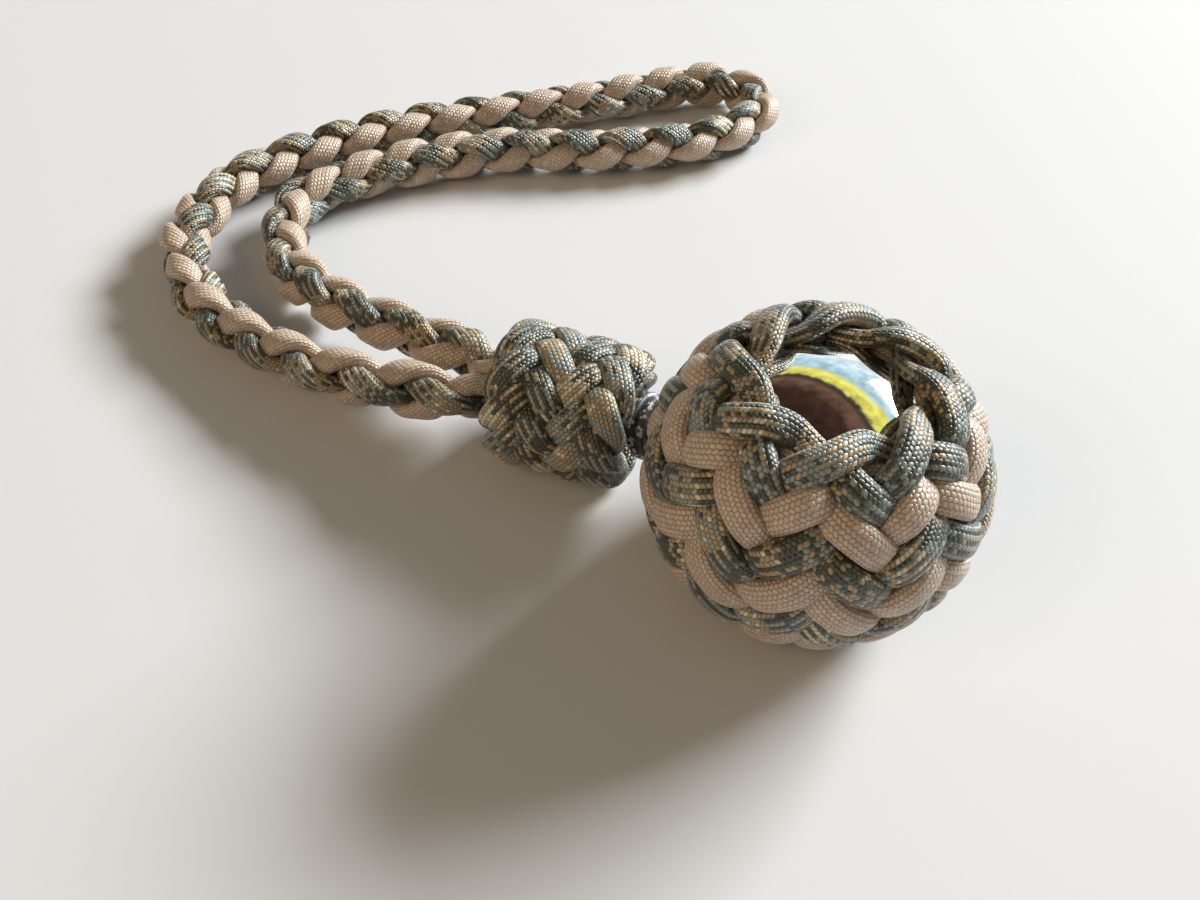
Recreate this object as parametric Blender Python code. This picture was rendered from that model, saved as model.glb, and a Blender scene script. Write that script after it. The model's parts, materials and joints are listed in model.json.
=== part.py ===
"""Monkey fist knot: a steel ball in an interlaced cover of two cords, a short whipped neck,
a woven collar knot and a braided lanyard loop. Metres, +Z up, resting on z = 0."""

import math

import bmesh
import bpy
import numpy as np
from mathutils import Vector
from mathutils.kdtree import KDTree

MM = 0.001
UP = Vector((0, 0, 1))

# Steel ball, and where its centre stands in plan, so that the rigid pieces are centred on the origin
BALL_DIAMETER = 38.1 * MM
BALL_X = 12.507 * MM
BALL_Y = -4.586 * MM

# Clearances between pieces that touch
PIECE_GAP = 0.3 * MM
COVER_SEAT_GAP = 0.35 * MM

# Knotting cord: full section at the middle of a float, shares of it at a float's ends and underneath,
# and as wide as the lane that its neighbours leave it
CORD_THICKNESS = 2.9 * MM
COVER_LANE_GAP = 0.67 * MM
COLLAR_LANE_GAP = 0.24 * MM
LEVEL_CLEARANCE = 2.05 * MM
FLOAT_END = (0.50, 0.69)
UNDER = (0.40, 0.55)
BIGHT_FULLNESS = 0.4
PAST_CROSSING = 0.2
CORD_SIDES = 6

# Ball cover: two interwoven closed cords on the same columns round the ball
COVER_COLUMNS = 32
COVER_TURN = math.radians(11.0)
CAMO_SPAN = 18
CAMO_FIRST_CROSSING = 2
CAMO_EDGE = math.radians(58.5)
CAMO_ROUND = 0.90
CAMO_BIGHT = (-1.0, 0.0, 1.0)
TAN_SPAN = 14
TAN_FIRST_CROSSING = 1
TAN_EDGE = math.radians(48.5)
TAN_ROUND = 0.93
TAN_BIGHT = (-0.35, 0.35)

# Collar: one closed cord of nine leads and ten bights round the strands of the lanyard
COLLAR_COLUMNS = 20
COLLAR_SPAN = 9
COLLAR_FIRST_CROSSING = 1
COLLAR_TURN = math.radians(5.5)
COLLAR_EDGE = 10.6 * MM
COLLAR_ROUND = 0.93
COLLAR_BIGHT = (0.0,)
COLLAR_HEADING = math.radians(-16.5)
BORE_CLEARANCE = 0.5 * MM

# Cords that run through the neck and the collar
STRAND_DIAMETER = 3.1 * MM
STRAND_SIDES = 12
STRANDS_ROUND_ONE = 7
SOCKET_EDGE = 0.5

# Neck: its two bends, one in the collar's mouth and one at the ball cover
NECK_BEARING = math.radians(146.8)
NECK_PRESSED_IN = 0.6 * MM
PIVOT_SPACING = 3.2 * MM
PIVOT_DEPTH = 1.6 * MM

# Whipping: a thin cord wound round the neck
WHIPPING_DIAMETER = 1.4 * MM
WHIPPING_TURNS = 1.6
WHIPPING_TURN_GAP = 0.45 * MM
WHIPPING_START = 1.8 * MM
POINTS_PER_TURN = 24

# The part stands on its two knots, each cut flat by this much
FLAT_DEPTH = 0.4 * MM

# Lanyard: a round braid that leaves the collar, goes round in a loop and comes back
BRAID_DIAMETER = 10.0 * MM
BRAID_SIDE_GAP = 0.4 * MM
BRAID_STEP = 7.0 * MM
BRAID_STRAIGHT = 6.0 * MM
LAID = BRAID_DIAMETER / MM / 2 + 0.2
ROUTE = (
    (-56.2, 34.8, 9.5),
    (-71.3, 44.7, 7.0),
    (-83.1, 57.9, LAID),
    (-85.4, 72.2, LAID),
    (-81.0, 81.3, LAID),
    (-65.7, 91.9, LAID),
    (-44.7, 99.6, LAID),
    (-22.5, 101.7, LAID),
    (0.1, 107.8, LAID),
    (12.0, 117.2, LAID),
    (13.4, 125.0, LAID),
    (7.8, 130.6, LAID),
    (-1.8, 131.3, LAID),
    (-23.3, 122.4, LAID),
    (-46.1, 113.8, LAID),
    (-67.9, 105.4, LAID),
    (-88.0, 93.7, LAID),
    (-100.2, 81.4, LAID),
    (-104.2, 65.6, LAID),
    (-102.5, 56.3, LAID),
    (-96.3, 44.8, LAID),
    (-84.2, 34.6, 5.6),
    (-67.1, 24.3, 8.2),
)

# A cord's gap to itself is sought up to this much, between points that lie this far apart along it
GAP_SOUGHT = 1.2 * MM
SAME_STRETCH = 9.0 * MM
STEPS_BETWEEN_RINGS = 8
STEPS_BETWEEN_CORNERS = 4


def lane_width(radius, columns, edge, span, roundness):
    """Distance between neighbouring leads that lean the same way, where the knot is widest."""
    along = radius * 2 * math.pi / columns
    climb = edge * 2 / span * roundness * math.pi / 2 / math.asin(roundness)
    return 2 * along * climb / math.hypot(along, climb)


# What follows from the driving dimensions
BALL_RADIUS = BALL_DIAMETER / 2
UNDER_THICKNESS = UNDER[1] * CORD_THICKNESS
LEVEL_STEP = (CORD_THICKNESS + UNDER_THICKNESS) / 2 + LEVEL_CLEARANCE
COVER_UNDER_RADIUS = BALL_RADIUS + COVER_SEAT_GAP + UNDER_THICKNESS / 2
COVER_OVER_RADIUS = COVER_UNDER_RADIUS + LEVEL_STEP
COVER_OUTER_RADIUS = COVER_OVER_RADIUS + CORD_THICKNESS / 2
COVER_LANE = lane_width(
    COVER_OVER_RADIUS, COVER_COLUMNS, COVER_OVER_RADIUS * CAMO_EDGE, CAMO_SPAN, CAMO_ROUND
)
COVER_CORD_WIDTH = COVER_LANE - COVER_LANE_GAP
STRAND_RADIUS = STRAND_DIAMETER / 2
NECK_STRAND_OFFSET = (STRAND_DIAMETER + PIECE_GAP) / math.sqrt(2)
NECK_RADIUS = NECK_STRAND_OFFSET + STRAND_RADIUS
ROOT_STRAND_OFFSET = (STRAND_DIAMETER + PIECE_GAP) / (2 * math.sin(math.pi / STRANDS_ROUND_ONE))
BORE_RADIUS = ROOT_STRAND_OFFSET + STRAND_RADIUS + BORE_CLEARANCE
COLLAR_UNDER_RADIUS = BORE_RADIUS + UNDER_THICKNESS / 2
COLLAR_OVER_RADIUS = COLLAR_UNDER_RADIUS + LEVEL_STEP
COLLAR_OUTER_RADIUS = COLLAR_OVER_RADIUS + CORD_THICKNESS / 2
COLLAR_LANE = lane_width(
    COLLAR_OVER_RADIUS, COLLAR_COLUMNS, COLLAR_EDGE, COLLAR_SPAN, COLLAR_ROUND
)
COLLAR_CORD_WIDTH = COLLAR_LANE - COLLAR_LANE_GAP
COLLAR_HALF_LENGTH = COLLAR_EDGE + COLLAR_CORD_WIDTH / 2
COLLAR_AXIS_HEIGHT = COLLAR_OUTER_RADIUS - FLAT_DEPTH


def clear_scene():
    for obj in list(bpy.data.objects):
        bpy.data.objects.remove(obj, do_unlink=True)


def material(name, colour, roughness, metallic=0.0):
    made = bpy.data.materials.new(name)
    made.use_nodes = True
    shader = made.node_tree.nodes["Principled BSDF"]
    shader.inputs["Base Color"].default_value = (*colour, 1.0)
    shader.inputs["Roughness"].default_value = roughness
    shader.inputs["Metallic"].default_value = metallic
    made.diffuse_color = (*colour, 1.0)
    return made


def add_object(name, data, finish, place=(0, 0, 0), turn=None, parent=None):
    data.materials.append(finish)
    obj = bpy.data.objects.new(name, data)
    obj.location = place
    if turn is not None:
        obj.rotation_mode = "QUATERNION"
        obj.rotation_quaternion = turn
    obj.parent = parent
    bpy.context.scene.collection.objects.link(obj)
    return obj


def pivot(name, place, parent=None):
    empty = bpy.data.objects.new(name, None)
    empty.empty_display_size = NECK_RADIUS
    empty.location = place
    empty.parent = parent
    bpy.context.scene.collection.objects.link(empty)
    return empty


def mesh_of(name, points, faces, sharp_angle):
    mesh = bpy.data.meshes.new(name)
    mesh.from_pydata([tuple(point) for point in points], [], faces)
    mesh.shade_smooth()
    mesh.set_sharp_from_angle(angle=sharp_angle)
    mesh.update()
    return mesh


# Interlaced cords


def wave(share, roundness):
    """Runs from -1 to 1 with share, in a straight line that eases off towards both ends."""
    return math.asin(roundness * math.sin(math.pi / 2 * share)) / math.asin(roundness)


def eased(share):
    share = min(max(share, 0.0), 1.0)
    return share * share * (3 - 2 * share)


def runs_of(crossings, over):
    """Groups the crossings of one pass into runs [level, first, last] that lie over or under."""
    runs = []
    for crossing in crossings:
        level = int(over(crossing))
        if runs and runs[-1][0] == level:
            runs[-1][2] = crossing
        else:
            runs.append([level, crossing, crossing])
    return runs


def knot_stations(columns, span, first, roundness, bight, over):
    """Stations (column, height from -1 to 1, level from 0 to 1, fullness from 0 to 1) of a closed cord.

    The cord leaves the upper edge at column 0 and reaches an edge again every span columns, until it is
    back. over(direction, crossing, start) says whether the pass that began at start lies on top there."""
    stations = []
    start = 0
    while start == 0 or start % columns:
        for direction in (-1, 1):
            edge = start + span

            def height(column, start=start, direction=direction):
                return -direction * wave(1 - 2 * (column - start) / span, roundness)

            def on_top(crossing, start=start, direction=direction):
                return over(direction, crossing, start)

            runs = runs_of(range(start + first, edge - first + 1), on_top)
            for level, begin, end in runs:
                if begin > start + first:
                    begin -= PAST_CROSSING
                if end < edge - first:
                    end += PAST_CROSSING
                stations.append((begin, height(begin), level, 0.0))
                if level:
                    middle = (begin + end) / 2
                    stations.append((middle, height(middle), level, 1.0))
                if end > begin:
                    stations.append((end, height(end), level, 0.0))
            from_level = runs[-1][0]
            to_level = int(over(-direction, edge + first, edge))
            for offset in bight:
                share = eased(eased((offset + first) / (2 * first)))
                level = from_level + (to_level - from_level) * share
                stations.append((edge + offset, height(edge - abs(offset)), level, BIGHT_FULLNESS))
            start = edge
    return stations


def between(full, end, under, level, fullness):
    """The size of a section: under at level 0, and from end to full with fullness at level 1."""
    return under + (end + (full - end) * fullness - under) * level


def section_sizes(stations, width):
    sizes = []
    for _, _, level, fullness in stations:
        wide = between(width, FLOAT_END[0] * width, UNDER[0] * width, level, fullness)
        thick = between(
            CORD_THICKNESS, FLOAT_END[1] * CORD_THICKNESS, UNDER_THICKNESS, level, fullness
        )
        sizes.append((wide, thick))
    return np.array(sizes)


def unit(vectors):
    return vectors / np.linalg.norm(vectors, axis=1)[:, None]


def flat_rings(centres, normals, sizes):
    """Six-sided rings of a closed cord, wide across the surface that it lies on and thin along normals."""
    before = unit(centres - np.roll(centres, 1, 0))
    after = unit(np.roll(centres, -1, 0) - centres)
    along = unit(before + after)
    across = unit(np.cross(normals, along))
    out = np.cross(along, across)
    angles = np.arange(CORD_SIDES) * 2 * math.pi / CORD_SIDES
    flat_height = math.sin(math.pi / 3)
    rings = np.empty((len(centres), CORD_SIDES, 3))
    for side, angle in enumerate(angles):
        wide = math.cos(angle) * sizes[:, 0] / 2
        thick = math.sin(angle) * sizes[:, 1] / (2 * flat_height)
        rings[:, side] = centres + wide[:, None] * across + thick[:, None] * out
    return rings


def ring_faces(count, sides, closed):
    faces = []
    for ring in range(count if closed else count - 1):
        following = (ring + 1) % count
        for side in range(sides):
            beside = (side + 1) % sides
            faces.append(
                (
                    ring * sides + side,
                    ring * sides + beside,
                    following * sides + beside,
                    following * sides + side,
                )
            )
    return faces


# Least gaps, measured on points of the surfaces


def surface_points(rings):
    """Points all over a closed cord's surface, each with its length along the cord."""
    centres = rings.mean(axis=1)
    steps = np.linalg.norm(np.roll(centres, -1, 0) - centres, axis=1)
    begins = np.concatenate([[0.0], np.cumsum(steps)])
    points = []
    lengths = []
    for step in range(STEPS_BETWEEN_RINGS):
        share = step / STEPS_BETWEEN_RINGS
        corners = rings * (1 - share) + np.roll(rings, -1, 0) * share
        for part in range(STEPS_BETWEEN_CORNERS):
            way = part / STEPS_BETWEEN_CORNERS
            spots = corners * (1 - way) + np.roll(corners, -1, 1) * way
            points.append(spots.reshape(-1, 3))
            lengths.append(np.repeat(begins[:-1] + share * steps, rings.shape[1]))
    return np.vstack(points), np.concatenate(lengths), begins[-1]


def tree_of(points):
    tree = KDTree(len(points))
    for index, point in enumerate(points):
        tree.insert(point, index)
    tree.balance()
    return tree


def least_gap_to_itself(rings):
    points, lengths, total = surface_points(rings)
    tree = tree_of(points)
    least = GAP_SOUGHT
    for index, point in enumerate(points):
        for _, other, distance in tree.find_range(point, least):
            apart = abs(lengths[index] - lengths[other])
            if min(apart, total - apart) > SAME_STRETCH and distance < least:
                least = distance
    return least


def least_gap_between(rings, other_rings):
    tree = tree_of(surface_points(rings)[0])
    return min(tree.find(point)[2] for point in surface_points(other_rings)[0])


def report_gap(what, gap):
    print(f"{what}: least gap {gap / MM:.2f} mm")


# Ball and its cover


def ball_cover_rings(span, first, edge, roundness, bight):
    def over(direction, crossing, _start):
        return crossing % 4 in ((3, 0) if direction < 0 else (1, 2))

    stations = knot_stations(COVER_COLUMNS, span, first, roundness, bight, over)
    centres = []
    for column, height, level, _ in stations:
        around = COVER_TURN + column * 2 * math.pi / COVER_COLUMNS
        latitude = height * edge
        radius = COVER_UNDER_RADIUS + LEVEL_STEP * level
        centres.append(
            (
                radius * math.cos(latitude) * math.cos(around),
                radius * math.cos(latitude) * math.sin(around),
                radius * math.sin(latitude),
            )
        )
    centres = np.array(centres)
    return flat_rings(centres, unit(centres), section_sizes(stations, COVER_CORD_WIDTH))


def steel_ball(finish, place, parent):
    mesh = bpy.data.meshes.new("steel_ball")
    shape = bmesh.new()
    bmesh.ops.create_uvsphere(shape, u_segments=32, v_segments=16, radius=BALL_RADIUS)
    shape.to_mesh(mesh)
    shape.free()
    mesh.shade_smooth()
    return add_object("steel_ball", mesh, finish, place, parent=parent)


# Collar


def collar_rings():
    """The collar's local Z runs along its bore towards the lanyard, and its local Y is up."""

    def over(direction, crossing, start):
        row = crossing - start if direction < 0 else COLLAR_SPAN - (crossing - start)
        return (row in (1, 2, 5, 6)) == (direction < 0)

    stations = knot_stations(
        COLLAR_COLUMNS, COLLAR_SPAN, COLLAR_FIRST_CROSSING, COLLAR_ROUND, COLLAR_BIGHT, over
    )
    centres = []
    normals = []
    for column, height, level, _ in stations:
        around = COLLAR_TURN + column * 2 * math.pi / COLLAR_COLUMNS
        radius = COLLAR_UNDER_RADIUS + LEVEL_STEP * level
        normals.append((math.cos(around), math.sin(around), 0.0))
        centres.append((radius * math.cos(around), radius * math.sin(around), height * COLLAR_EDGE))
    centres = np.array(centres)
    return flat_rings(centres, np.array(normals), section_sizes(stations, COLLAR_CORD_WIDTH))


def stands_flat(obj, cutter):
    cut = obj.modifiers.new("flat_where_it_stands", "BOOLEAN")
    cut.operation = "DIFFERENCE"
    cut.solver = "EXACT"
    cut.object = cutter


def floor_cutter(reach):
    """A slab whose top is the plane that the part rests on."""
    corners = []
    for x in (-reach, reach):
        for y in (-reach, reach):
            for z in (-reach, 0.0):
                corners.append((x, y, z))
    faces = [(0, 1, 3, 2), (4, 6, 7, 5), (0, 4, 5, 1), (2, 3, 7, 6), (0, 2, 6, 4), (1, 5, 7, 3)]
    mesh = bpy.data.meshes.new("floor_cutter")
    mesh.from_pydata(corners, [], faces)
    cutter = bpy.data.objects.new("floor_cutter", mesh)
    cutter.hide_render = True
    cutter.display_type = "WIRE"
    bpy.context.scene.collection.objects.link(cutter)
    return cutter


# Strands of the neck and of the lanyard's root


def strand_mesh(name, centre, bottom, top):
    """A straight cord along Z round centre, whose end faces follow bottom(x, y) and top(x, y)."""
    points = []
    for end in (bottom, top):
        for side in range(STRAND_SIDES):
            angle = 2 * math.pi * side / STRAND_SIDES
            x = centre[0] + STRAND_RADIUS * math.cos(angle)
            y = centre[1] + STRAND_RADIUS * math.sin(angle)
            points.append((x, y, end(x, y)))
    points.append((*centre, bottom(*centre)))
    points.append((*centre, top(*centre)))
    low = 2 * STRAND_SIDES
    high = low + 1
    faces = ring_faces(2, STRAND_SIDES, closed=False)
    for side in range(STRAND_SIDES):
        beside = (side + 1) % STRAND_SIDES
        faces.append((low, beside, side))
        faces.append((high, STRAND_SIDES + side, STRAND_SIDES + beside))
    return mesh_of(name, points, faces, math.radians(50))


def dome(radius, x, y):
    return math.sqrt(max(radius * radius - x * x - y * y, 0.0))


def neck_strands(finishes, turn, parent):
    """Four cords whose ends are domed about the two bends, so that they turn in their seats."""
    names = ("neck_strand_tan_1", "neck_strand_camo_1", "neck_strand_tan_2", "neck_strand_camo_2")
    for index, name in enumerate(names):
        angle = math.radians(45 + 90 * index)
        centre = (NECK_STRAND_OFFSET * math.cos(angle), NECK_STRAND_OFFSET * math.sin(angle))
        mesh = strand_mesh(
            name,
            centre,
            lambda x, y: -dome(NECK_RADIUS, x, y),
            lambda x, y: PIVOT_SPACING + dome(NECK_RADIUS, x, y),
        )
        add_object(name, mesh, finishes[index % 2], turn=turn, parent=parent)


def root_strands(finishes, place, turn, pivot_height):
    """Seven cords round one in the collar's bore, from the neck's seat to the lanyard's two ends."""
    socket_radius = NECK_RADIUS + PIECE_GAP
    count = STRANDS_ROUND_ONE + 1
    for index in range(count):
        kind = index % 2
        name = f"lanyard_root_{('tan', 'camo')[kind]}_strand_{index // 2 + 1}"
        angle = math.radians(90) + 2 * math.pi * index / STRANDS_ROUND_ONE
        offset = ROOT_STRAND_OFFSET if index < STRANDS_ROUND_ONE else 0.0
        centre = (offset * math.cos(angle), offset * math.sin(angle))

        def neck_seat(x, y):
            return pivot_height + max(dome(socket_radius, x, y), SOCKET_EDGE * socket_radius)

        mesh = strand_mesh(name, centre, neck_seat, lambda x, y: COLLAR_HALF_LENGTH)
        add_object(name, mesh, finishes[kind], place, turn)


# Cords made as curves


def tube_curve(name, points, diameter, resolution):
    curve = bpy.data.curves.new(name, "CURVE")
    curve.dimensions = "3D"
    curve.bevel_depth = diameter / 2
    curve.bevel_resolution = resolution
    curve.use_fill_caps = True
    curve.twist_mode = "MINIMUM"
    spline = curve.splines.new("POLY")
    spline.points.add(len(points) - 1)
    for spot, point in zip(spline.points, points):
        spot.co = (*point, 1.0)
    spline.use_smooth = True
    return curve


def whipping(finish, turn, parent):
    radius = NECK_RADIUS + PIECE_GAP + WHIPPING_DIAMETER / 2
    pitch = WHIPPING_DIAMETER + WHIPPING_TURN_GAP
    count = round(WHIPPING_TURNS * POINTS_PER_TURN)
    points = []
    for index in range(count + 1):
        angle = 2 * math.pi * index / POINTS_PER_TURN
        height = WHIPPING_START + pitch * index / POINTS_PER_TURN
        points.append(Vector((radius * math.cos(angle), radius * math.sin(angle), height)))
    following = points[POINTS_PER_TURN:]
    nearest = min((after - before).length for before, after in zip(points, following))
    report_gap("whipping to itself", nearest - WHIPPING_DIAMETER)
    curve = tube_curve("neck_whipping_cord", points, WHIPPING_DIAMETER, 1)
    add_object("neck_whipping_cord", curve, finish, turn=turn, parent=parent)


def smooth_curve(points, per_span):
    """Points on a Catmull-Rom curve through the given points."""
    ends = [2 * points[0] - points[1], *points, 2 * points[-1] - points[-2]]
    made = []
    for before, begin, end, after in zip(ends, ends[1:], ends[2:], ends[3:]):
        for step in range(per_span):
            t = step / per_span
            made.append(
                0.5
                * (
                    2 * begin
                    + (end - before) * t
                    + (2 * before - 5 * begin + 4 * end - after) * t**2
                    + (3 * begin - before - 3 * end + after) * t**3
                )
            )
    return [*made, points[-1]]


def evenly_spaced(points, step):
    lengths = [0.0]
    for before, after in zip(points, points[1:]):
        lengths.append(lengths[-1] + (after - before).length)
    count = round(lengths[-1] / step)
    wanted = [lengths[-1] * index / count for index in range(count + 1)]
    columns = [np.interp(wanted, lengths, [point[axis] for point in points]) for axis in range(3)]
    return [Vector(spot) for spot in zip(*columns)], lengths[-1]


def lanyard(finish, collar_place, along_lanyard, across):
    """The braid's two ends stand side by side, square to the collar's outer face."""
    face = collar_place + along_lanyard * (COLLAR_HALF_LENGTH + PIECE_GAP)
    aside = across * (BRAID_DIAMETER + BRAID_SIDE_GAP) / 2
    straight = along_lanyard * BRAID_STRAIGHT
    route = [face + aside, face + aside + straight]
    route += [Vector(spot) * MM for spot in ROUTE]
    route += [face - aside + straight, face - aside]
    points, length = evenly_spaced(smooth_curve(route, 12), BRAID_STEP)
    print(f"lanyard braid: {length / MM:.0f} mm long, {len(points)} points")
    curve = tube_curve("lanyard_braid", points, BRAID_DIAMETER, 2)
    add_object("lanyard_braid", curve, finish)


def knot_object(name, rings, finish, place, turn=None, parent=None):
    report_gap(f"{name} to itself", least_gap_to_itself(rings))
    faces = ring_faces(len(rings), CORD_SIDES, closed=True)
    mesh = mesh_of(name, rings.reshape(-1, 3), faces, math.radians(60))
    return add_object(name, mesh, finish, place, turn, parent)


def main():
    clear_scene()
    tan = material("tan_cord", (0.55, 0.36, 0.22), 0.75)
    camo = material("camo_cord", (0.13, 0.16, 0.11), 0.75)
    speckled = material("speckled_cord", (0.30, 0.30, 0.30), 0.7)
    steel = material("polished_steel", (0.75, 0.76, 0.78), 0.08, 1.0)

    camo_rings = ball_cover_rings(CAMO_SPAN, CAMO_FIRST_CROSSING, CAMO_EDGE, CAMO_ROUND, CAMO_BIGHT)
    tan_rings = ball_cover_rings(TAN_SPAN, TAN_FIRST_CROSSING, TAN_EDGE, TAN_ROUND, TAN_BIGHT)
    report_gap("ball cover, camo cord to tan cord", least_gap_between(camo_rings, tan_rings))
    ball_height = -camo_rings[:, :, 2].min() - FLAT_DEPTH
    ball_centre = Vector((BALL_X, BALL_Y, ball_height))

    # The neck's lower bend lies on the collar's axis, in the collar's mouth
    seat_radius = COVER_OUTER_RADIUS + PIECE_GAP - NECK_PRESSED_IN
    pivot_reach = seat_radius + NECK_RADIUS + PIVOT_SPACING
    drop = ball_height - COLLAR_AXIS_HEIGHT
    aside = math.sqrt(pivot_reach**2 - drop**2)
    swing_point = ball_centre + Vector(
        (aside * math.cos(NECK_BEARING), aside * math.sin(NECK_BEARING), -drop)
    )
    neck_way = (ball_centre - swing_point).normalized()
    nod_point = swing_point + neck_way * PIVOT_SPACING
    to_ball = Vector((math.cos(COLLAR_HEADING), math.sin(COLLAR_HEADING), 0.0))
    collar_place = swing_point - to_ball * (COLLAR_HALF_LENGTH - PIVOT_DEPTH)
    across = UP.cross(to_ball)
    collar_turn = (-to_ball).to_track_quat("Z", "Y")
    neck_turn = neck_way.to_track_quat("Z", "Y")
    nod_axis = neck_way.cross(UP).normalized()

    swing = pivot("neck_swing_pivot", swing_point)
    nod = pivot("fist_nod_pivot", neck_way * PIVOT_SPACING, swing)
    cutter = floor_cutter(4 * COVER_OUTER_RADIUS)

    steel_ball(steel, ball_centre - nod_point, nod)
    cover_place = ball_centre - nod_point
    camo_cover = knot_object("ball_cover_camo_cord", camo_rings, camo, cover_place, parent=nod)
    knot_object("ball_cover_tan_cord", tan_rings, tan, cover_place, parent=nod)
    stands_flat(camo_cover, cutter)

    neck_strands((tan, camo), neck_turn, swing)
    whipping(speckled, neck_turn, swing)

    collar = knot_object("collar_knot_cord", collar_rings(), camo, collar_place, collar_turn)
    stands_flat(collar, cutter)
    root_strands((tan, camo), collar_place, collar_turn, -(COLLAR_HALF_LENGTH - PIVOT_DEPTH))
    lanyard(tan, collar_place, -to_ball, across)

    for name, spot in (("swing", swing_point), ("nod", nod_point), ("ball", ball_centre)):
        print(name, "point in mm:", [round(value / MM, 3) for value in spot])
    print("nod axis:", [round(value, 5) for value in nod_axis])


main()
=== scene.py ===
"""Looks of the monkey fist knot: woven cords, a mirror ball, a pale floor and soft light.

Lengths are in metres. Every cord is a swept tube, on a path that follows the model's rules."""

import json
import math
from collections import namedtuple

import bpy
import numpy as np
from mathutils import Matrix, Vector


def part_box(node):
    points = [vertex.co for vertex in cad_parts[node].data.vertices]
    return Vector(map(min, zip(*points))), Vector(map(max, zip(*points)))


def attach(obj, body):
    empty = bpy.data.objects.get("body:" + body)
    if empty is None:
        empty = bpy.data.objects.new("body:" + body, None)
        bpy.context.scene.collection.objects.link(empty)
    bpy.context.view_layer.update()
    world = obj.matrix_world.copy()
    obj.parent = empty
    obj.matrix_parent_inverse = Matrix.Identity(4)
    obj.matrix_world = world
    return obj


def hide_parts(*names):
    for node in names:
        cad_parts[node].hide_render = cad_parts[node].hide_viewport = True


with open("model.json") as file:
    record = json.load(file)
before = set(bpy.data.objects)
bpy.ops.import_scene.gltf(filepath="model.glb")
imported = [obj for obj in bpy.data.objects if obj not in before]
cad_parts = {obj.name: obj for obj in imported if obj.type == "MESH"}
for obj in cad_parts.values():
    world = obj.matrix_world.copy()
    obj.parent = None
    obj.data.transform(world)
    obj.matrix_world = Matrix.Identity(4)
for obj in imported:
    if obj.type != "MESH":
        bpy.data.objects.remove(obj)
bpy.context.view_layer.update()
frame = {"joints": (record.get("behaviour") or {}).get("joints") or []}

MM = 0.001
TURN = 2 * math.pi
UP = Vector((0, 0, 1))
KINDS = ("tan", "camo")

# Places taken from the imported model
BALL_LOW, BALL_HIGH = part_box("steel_ball")
BALL_CENTRE = (BALL_LOW + BALL_HIGH) / 2
BALL_RADIUS = (BALL_HIGH - BALL_LOW).z / 2
JOINTS = {joint["name"]: joint for joint in frame["joints"]}
SWING_POINT = Vector(JOINTS["neck_swing"]["pos_m"])
NOD_POINT = Vector(JOINTS["fist_nod"]["pos_m"])

# The visual ball is larger than the model's, to fill the cover
BALL_FILL = 1.3 * MM

# Knots. Of a pair of sizes, the first holds where a cord runs under others, the second where it
# runs over them. A sharpness near 0 makes round bights and one of 1 pointed ones. Crispness says
# how steeply a cord dips, and its width is full at 1 / WIDENS of the way up.

# Ball cover: two closed cords, interwoven on shared columns
CoverCord = namedtuple("CoverCord", "span first_crossing edge sharpness seed")
COVER_CORDS = {
    "camo": CoverCord(18, 2, edge=math.radians(58.5), sharpness=0.90, seed=11),
    "tan": CoverCord(14, 1, edge=math.radians(48.5), sharpness=0.93, seed=23),
}
COVER_COLUMNS = 32
COVER_TURN = math.radians(11.0)
COVER_CRISPNESS = 0.7
COVER_HEIGHTS = (2.0 * MM, 5.3 * MM)
COVER_WIDTHS = (4.4 * MM, 5.35 * MM)
COVER_DEPTHS = (2.5 * MM, 3.25 * MM)
COVER_WIDENS = 1.6
COVER_SQUEEZE = 0.14
COVER_WANDER_ASIDE = 0.16 * MM
COVER_WANDER_OUT = 0.10 * MM
COVER_WANDER_WIDTH = 0.12 * MM

# Collar: one closed cord of nine leads and ten bights
COLLAR_COLUMNS = 20
COLLAR_SPAN = 9
COLLAR_FIRST_CROSSING = 1
COLLAR_TURN = math.radians(5.5)
COLLAR_EDGE = 10.6 * MM
COLLAR_SHARPNESS = 0.93
COLLAR_CRISPNESS = 0.9
COLLAR_HEADING = math.radians(-16.5)
COLLAR_HALF_LENGTH = 12.7 * MM
COLLAR_RADII = (7.3 * MM, 10.95 * MM)
COLLAR_WIDTHS = (4.2 * MM, 4.8 * MM)
COLLAR_DEPTHS = (2.4 * MM, 3.1 * MM)
COLLAR_WIDENS = 2.0
COLLAR_WANDER = 0.10 * MM
COLLAR_SEED = 31
# The bights next to the ball are drawn in and thinner, which leaves room for its swing
COLLAR_DRAWN_IN = 1.1 * MM
COLLAR_THINNED = 0.6
# How deep in the collar's mouth the neck's swing has its centre
PIVOT_DEPTH = 1.6 * MM

# Neck, whipping and the cords in the collar's bore. The neck cords are cut short of the model's
# at the ball, which leaves room for its nod
STRAND_DIAMETER = 3.1 * MM
NECK_STRANDS = 4
NECK_STRAND_OFFSET = 2.404 * MM
NECK_RADIUS = 3.954 * MM
NECK_CUT = 0.5 * MM
ROOT_STRAND_OFFSET = 3.917 * MM
ROOT_TURN = math.radians(90)
STRANDS_ROUND_ONE = 7
WHIPPING_DIAMETER = 1.4 * MM
WHIPPING_TURNS = 1.6
WHIPPING_TURN_GAP = 0.45 * MM
WHIPPING_START = 1.8 * MM
WHIPPING_STEPS = 90
PIECE_GAP = 0.3 * MM

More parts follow.
